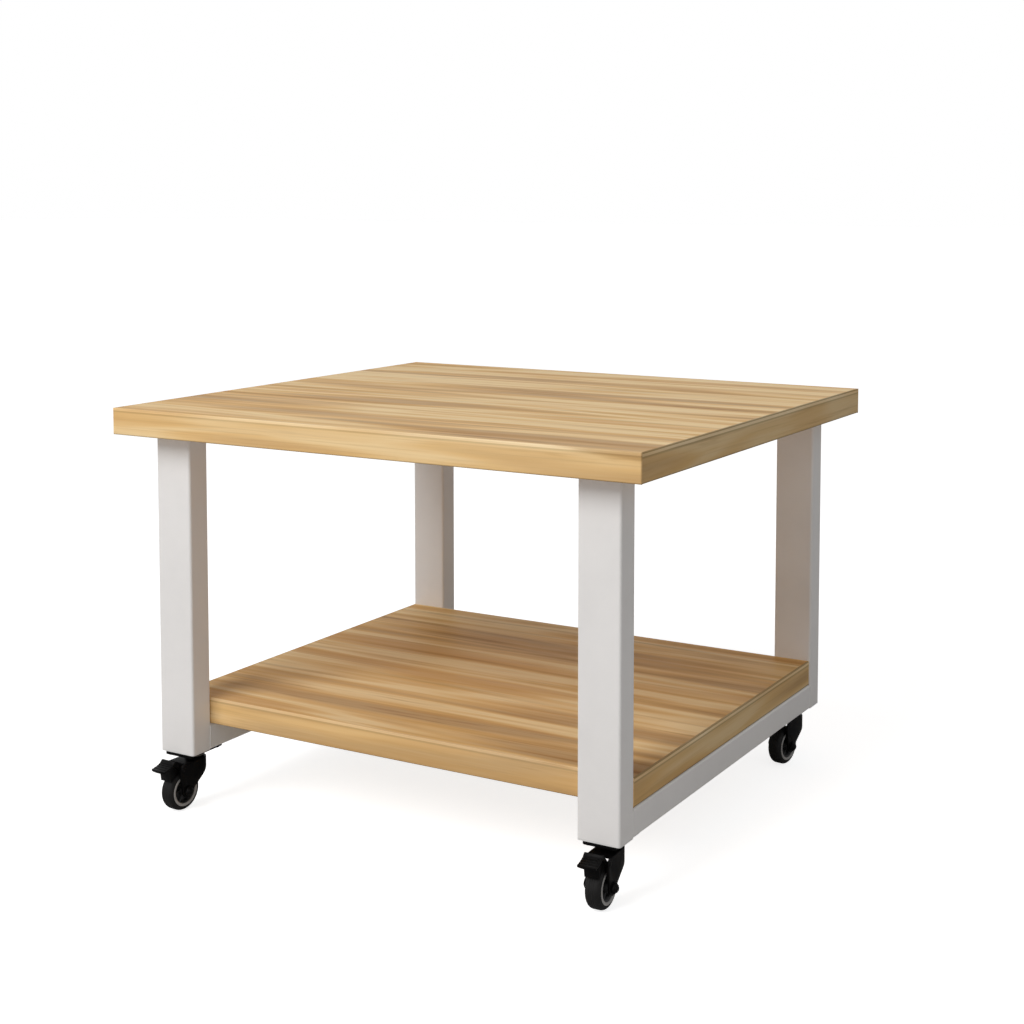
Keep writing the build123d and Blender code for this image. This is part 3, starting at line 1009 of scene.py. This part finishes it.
def makeScrew(scale):
    # Pan head that looks down, with a cross recess
    radius, height = screw["headRadius"] * scale, screw["headHeight"] * scale
    reach, width = screw["recessReach"] * scale, screw["recessWidth"] * scale / 2
    dome = [(share * radius, -drop * height) for share, drop in screw["dome"]]
    head = turnedPiece("screw", dome, screw["sides"], capped=True)
    bar = [(-reach, -width), (reach, -width), (reach, width), (-reach, width)]
    for turn in (45, 135):
        recess = platePiece("slot", bar, height)
        recess.data.transform(Matrix.Rotation(math.radians(turn), 4, "Z"))
        moveMesh(recess, z=-2 * height + screw["recessDepth"] * scale)
        booleanWith(head, recess, "DIFFERENCE")
    finishEdges(head, screw)
    return head


def screwIn(spots, name, scale, material):
    # Each screw stopped at its own angle
    places = []
    for count, spot in enumerate(spots):
        turn = screw["turns"][0] * count + screw["turns"][1] * (count % 3)
        places.append(Matrix.Translation(spot) @ Matrix.Rotation(math.radians(turn), 4, "Z"))
    joinedCopies(makeScrew(scale), name, places, material)


def makeScrews():
    plateUnder = (caster["plateTop"] - plate["thickness"]) * mm
    middles = [place.to_translation() for place in squarePlaces]
    spots = [(middle.x + side * plate["screwX"] * mm, middle.y + end * plate["screwY"] * mm, plateUnder)
             for middle in middles for side in bothWays for end in bothWays]
    screwIn(spots, "plateScrews", plateScrews["scale"], finishes["hardware"])
    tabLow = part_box("leg_tabs")[0]
    legLow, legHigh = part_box("leg_front_right")
    spots = [(side * (legLow[0] - inset * mm), end * abs(legLow[1] + legHigh[1]) / 2, tabLow[2])
             for side in bothWays for end in bothWays for inset in tabScrews["insets"]]
    screwIn(spots, "tabScrews", tabScrews["scale"], finishes["zinc"])
    railLow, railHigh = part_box("rail_right")
    spots = [(side * (railLow[0] + railHigh[0]) / 2, along * mm, railLow[2])
             for side in bothWays for along in railScrews["along"]]
    screwIn(spots, "railScrews", railScrews["scale"], finishes["zinc"])


weld = {
    "radius": 1.15,
    "tip": 0.5,  # share of the radius at both ends
    "ripple": 0.07,
    "pitch": 0.85,
    "inset": 0.7,
    "legShare": 1.2,  # depth into the leg's rounded corner, as a share of the inset
    "ends": 1.0,
    "sides": 20,
    "smooth": 60.0,
}


def makeWelds():
    # Rippled bead in the groove between each upright leg and its rail, on both faces of the tube
    railLow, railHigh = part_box("rail_right")
    length = (railHigh[2] - railLow[2]) / mm - 2 * weld["ends"]
    steps = int(length / weld["pitch"]) * 2
    tip = weld["tip"] * weld["radius"]
    profile = [(tip, 0)]
    for step in range(1, steps):
        swell = weld["ripple"] if step % 2 else -weld["ripple"]
        profile.append((weld["radius"] + swell, length * step / steps))
    profile.append((tip, length))
    bead = turnedPiece("bead", profile, weld["sides"], capped=True)
    finishEdges(bead, weld)
    inset = weld["inset"] * mm
    faces = (railLow[0] + inset, railHigh[0] - inset)
    along, low = railHigh[1] + weld["legShare"] * inset, railLow[2] + weld["ends"] * mm
    places = [Matrix.Translation((side * face, end * along, low))
              for side in bothWays for end in bothWays for face in faces]
    joinedCopies(bead, "weldBeads", places, finishes["weld"])


makeScrews()
makeWelds()
print("screws and welds made")


# Floor, sky, lamps and camera
studio = {
    "floorSize": 60.0,
    "floorColour": (0.62, 0.62, 0.62),
    "floorRoughness": 0.9,
    "floorGloss": 0.1,
    "floorGlow": 0.80,
    "skyColour": (1.0, 1.0, 1.0),
    "skyStrength": 0.30,
    "skySeen": 1.0,
    "aim": (0, 0, 0.2),
}
lamps = {
    "key": {"place": (-0.8, -2.7, 2.4), "size": 1.8, "power": 76.0},
    "fill": {"place": (2.6, -1.0, 1.6), "size": 2.5, "power": 5.0},
}


def makeFloor():
    clearSelection()
    bpy.ops.mesh.primitive_plane_add(size=studio["floorSize"], location=(0, 0, 0))
    floor = bpy.context.object
    floor.name = "studio_floor"
    material, tree, shader = newMaterial("studio floor")
    shader.inputs["Base Color"].default_value = (*studio["floorColour"], 1)
    shader.inputs["Roughness"].default_value = studio["floorRoughness"]
    shader.inputs["Specular IOR Level"].default_value = studio["floorGloss"]
    shader.inputs["Emission Color"].default_value = (1, 1, 1, 1)
    path = tree.nodes.new("ShaderNodeLightPath")
    glow = mathNode(tree, "MULTIPLY", path.outputs["Is Camera Ray"], studio["floorGlow"])
    tree.links.new(glow, shader.inputs["Emission Strength"])
    dress(floor, material)


def makeSky():
    # Full strength where the camera, glass or a reflection sees it, weaker as a light
    world = bpy.data.worlds.new("studio sky")
    bpy.context.scene.world = world
    world.use_nodes = True
    tree = world.node_tree
    background = tree.nodes["Background"]
    background.inputs["Color"].default_value = (*studio["skyColour"], 1)
    path = tree.nodes.new("ShaderNodeLightPath")
    seen = mathNode(tree, "MAXIMUM", path.outputs["Is Camera Ray"], path.outputs["Is Transmission Ray"])
    seen = mathNode(tree, "MAXIMUM", seen, path.outputs["Is Glossy Ray"])
    strength = mapRange(tree, seen, 0.0, 1.0, studio["skyStrength"], studio["skySeen"])
    tree.links.new(strength, background.inputs["Strength"])


def makeLamp(name):
    lamp = bpy.data.lights.new(name, "AREA")
    lamp.shape = "SQUARE"
    lamp.size = lamps[name]["size"]
    lamp.energy = lamps[name]["power"]
    lampObject = bpy.data.objects.new(name, lamp)
    bpy.context.scene.collection.objects.link(lampObject)
    lampObject.location = lamps[name]["place"]
    aim = Vector(studio["aim"]) - Vector(lamps[name]["place"])
    lampObject.rotation_euler = aim.to_track_quat("-Z", "Y").to_euler()


camera = {
    "place": (0.8454, -1.3927, 0.5802),
    "azimuth": 29.198,
    "elevation": 4.258,
    "roll": 0.121,
    "sensor": 36.0,
    "lens": 58.70,
    "shift": (-0.0514, -0.1870),
}


def makeCamera():
    data = bpy.data.cameras.new("camera")
    data.sensor_width = camera["sensor"]
    data.lens = camera["lens"]
    data.shift_x, data.shift_y = camera["shift"]
    cameraObject = bpy.data.objects.new("camera", data)
    bpy.context.scene.collection.objects.link(cameraObject)
    cameraObject.location = camera["place"]
    turn, tilt = math.radians(camera["azimuth"]), math.radians(camera["elevation"])
    aim = Vector((-math.sin(turn) * math.cos(tilt), math.cos(turn) * math.cos(tilt), -math.sin(tilt)))
    roll = Matrix.Rotation(math.radians(camera["roll"]), 3, "Z").to_quaternion()
    cameraObject.rotation_euler = (aim.to_track_quat("-Z", "Y") @ roll).to_euler()
    bpy.context.scene.camera = cameraObject


makeFloor()
makeSky()
for name in lamps:
    makeLamp(name)
makeCamera()
bpy.context.scene.view_settings.view_transform = "Standard"
print("studio set")
